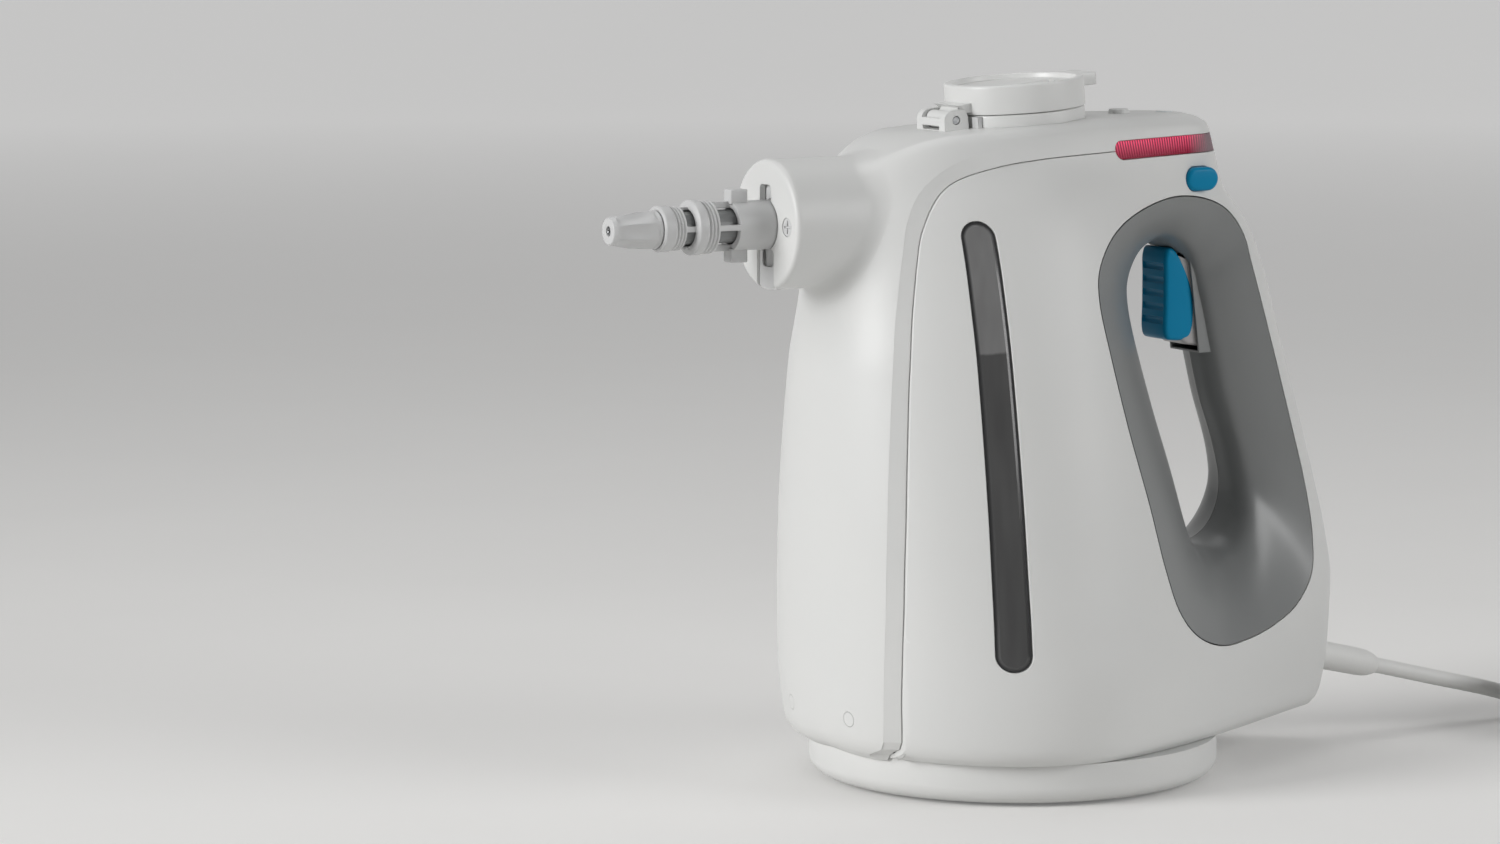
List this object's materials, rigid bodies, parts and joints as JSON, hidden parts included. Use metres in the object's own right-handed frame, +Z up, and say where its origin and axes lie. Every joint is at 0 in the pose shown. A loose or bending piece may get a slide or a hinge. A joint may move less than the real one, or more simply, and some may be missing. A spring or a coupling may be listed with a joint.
{
  "type": "steam cleaner",
  "caption": "Hand-held steam cleaner: round base, body tapering to a looped handle with trigger, side water window, hinged filler lid, front steam nozzle and mains cord.",
  "frame": {"origin": "on the floor under the middle of the cleaner's length, from nozzle tip to the rear of the grip, with cord, coil, tie and plug left out", "axes": "+X points from the nozzle towards the handle, +Z points up, and +Y points away from the side with the water window, which faces -Y"},
  "size_m": [0.6074, 0.192, 0.2896],
  "materials": {
    "nozzle_cage": "satin grey plastic",
    "nozzle_tip": "satin grey plastic",
    "nozzle_orifice": "bare steel",
    "nozzle_inner_tube": "matt dark plastic",
    "nozzle_seal": "matt black rubber",
    "nozzle_socket": "matt dark plastic",
    "filler_neck": "satin white ABS",
    "lid": "satin white ABS",
    "lid_seal": "matt black rubber",
    "lid_hinge_pin": "bare steel",
    "lid_buffer": "matt dark plastic",
    "cord_gland": "soft white cord plastic",
    "front_shell": "satin white ABS",
    "side_shell_left": "satin white ABS",
    "side_shell_right": "satin white ABS",
    "base_cup": "satin white ABS",
    "foot_1": "matt black rubber",
    "foot_2": "matt black rubber",
    "foot_3": "matt black rubber",
    "foot_4": "matt black rubber",
    "base_screw_1": "bare steel",
    "base_screw_2": "bare steel",
    "handle_insert_left": "high-gloss grey ABS",
    "handle_insert_right": "high-gloss grey ABS",
    "water_window": "smoked clear plastic",
    "status_lens": "clear red plastic",
    "lock_button": "glossy blue plastic",
    "screw_plug_left": "satin white ABS",
    "screw_plug_right": "satin white ABS",
    "power_button": "satin white ABS",
    "status_lamp": "clear plastic",
    "button_board": "green circuit board",
    "light_strip": "green circuit board",
    "lid_hinge_block": "satin white ABS",
    "trigger_cap": "glossy blue plastic",
    "trigger_carrier": "satin grey plastic",
    "trigger_pin": "bare steel",
    "trigger_spring": "bare steel",
    "trigger_frame": "matt dark plastic",
    "microswitch": "matt black plastic",
    "switch_plunger": "satin grey plastic",
    "water_tank": "natural plastic",
    "control_board": "green circuit board",
    "boiler": "as cast",
    "heater_element": "bare steel",
    "boiler_bracket": "bare steel",
    "thermostat": "bare steel",
    "thermal_fuse": "milky silicone",
    "pump": "matt black plastic",
    "pump_mount": "matt black rubber",
    "suction_hose": "milky silicone",
    "pressure_hose": "milky silicone",
    "steam_pipe": "bare steel",
    "terminal_block": "matt white plastic",
    "cable_clamp": "matt dark plastic",
    "cord_lead": "soft white cord plastic",
    "cord_coil": "soft white cord plastic",
    "cord_tie": "matt black rubber",
    "cord_plug": "soft white cord plastic"
  },
  "bodies": {
    "body": {"nozzle_seal": "nozzle_seal", "nozzle_socket": "nozzle_socket", "filler_neck": "filler_neck", "lid_hinge_pin": "lid_hinge_pin", "lid_buffer": "lid_buffer", "cord_gland": "cord_gland", "front_shell": "front_shell", "side_shell_left": "side_shell_left", "side_shell_right": "side_shell_right", "base_cup": "base_cup", "foot_1": "foot_1", "foot_2": "foot_2", "foot_3": "foot_3", "foot_4": "foot_4", "base_screw_1": "base_screw_1", "base_screw_2": "base_screw_2", "handle_insert_left": "handle_insert_left", "handle_insert_right": "handle_insert_right", "water_window": "water_window", "status_lens": "status_lens", "screw_plug_left": "screw_plug_left", "screw_plug_right": "screw_plug_right", "status_lamp": "status_lamp", "button_board": "button_board", "light_strip": "light_strip", "lid_hinge_block": "lid_hinge_block", "trigger_pin": "trigger_pin", "trigger_spring": "trigger_spring", "trigger_frame": "trigger_frame", "microswitch": "microswitch", "water_tank": "water_tank", "control_board": "control_board", "boiler": "boiler", "heater_element": "heater_element", "boiler_bracket": "boiler_bracket", "thermostat": "thermostat", "thermal_fuse": "thermal_fuse", "pump": "pump", "pump_mount": "pump_mount", "suction_hose": "suction_hose", "pressure_hose": "pressure_hose", "steam_pipe": "steam_pipe", "terminal_block": "terminal_block", "cable_clamp": "cable_clamp", "cord_lead": "cord_lead", "cord_coil": "cord_coil", "cord_tie": "cord_tie", "cord_plug": "cord_plug"},
    "trigger": {"trigger_cap": "trigger_cap", "trigger_carrier": "trigger_carrier"},
    "plunger": {"switch_plunger": "switch_plunger"},
    "lock": {"lock_button": "lock_button"},
    "lid": {"lid": "lid", "lid_seal": "lid_seal"},
    "nozzle": {"nozzle_cage": "nozzle_cage", "nozzle_tip": "nozzle_tip", "nozzle_orifice": "nozzle_orifice", "nozzle_inner_tube": "nozzle_inner_tube"},
    "button": {"power_button": "power_button"}
  },
  "joints": [
    {"name": "trigger_pull", "type": "hinge", "parent": "body", "child": "trigger", "pos_m": [0.11135, 0, 0.211], "axis": [0, -1, 0], "range_deg": [0, 9], "stiffness_Nm_per_rad": 0.5, "springref_deg": -6.88},
    {"name": "switch_press", "type": "slide", "parent": "body", "child": "plunger", "axis": [1, 0, 0], "range_m": [0, 0.0033]},
    {"name": "lock_slide", "type": "slide", "parent": "body", "child": "lock", "axis": [0, 1, 0], "range_m": [0, 0.0042]},
    {"name": "lid_open", "type": "hinge", "parent": "body", "child": "lid", "pos_m": [-0.01891, 0, 0.27152], "axis": [0, -1, 0], "range_deg": [0, 105]},
    {"name": "nozzle_twist", "type": "hinge", "parent": "body", "child": "nozzle", "pos_m": [-0.13365, 0, 0.2319], "axis": [1, 0, 0], "range_deg": [0, 90]},
    {"name": "button_press", "type": "slide", "parent": "body", "child": "button", "axis": [0, 0, -1], "range_m": [0, 0.001], "stiffness_N_per_m": 400, "springref_m": -0.0008}
  ],
  "couplings": [
    {"joint": "switch_press", "follows": "trigger_pull", "m_per_rad": 0.020998}
  ]
}
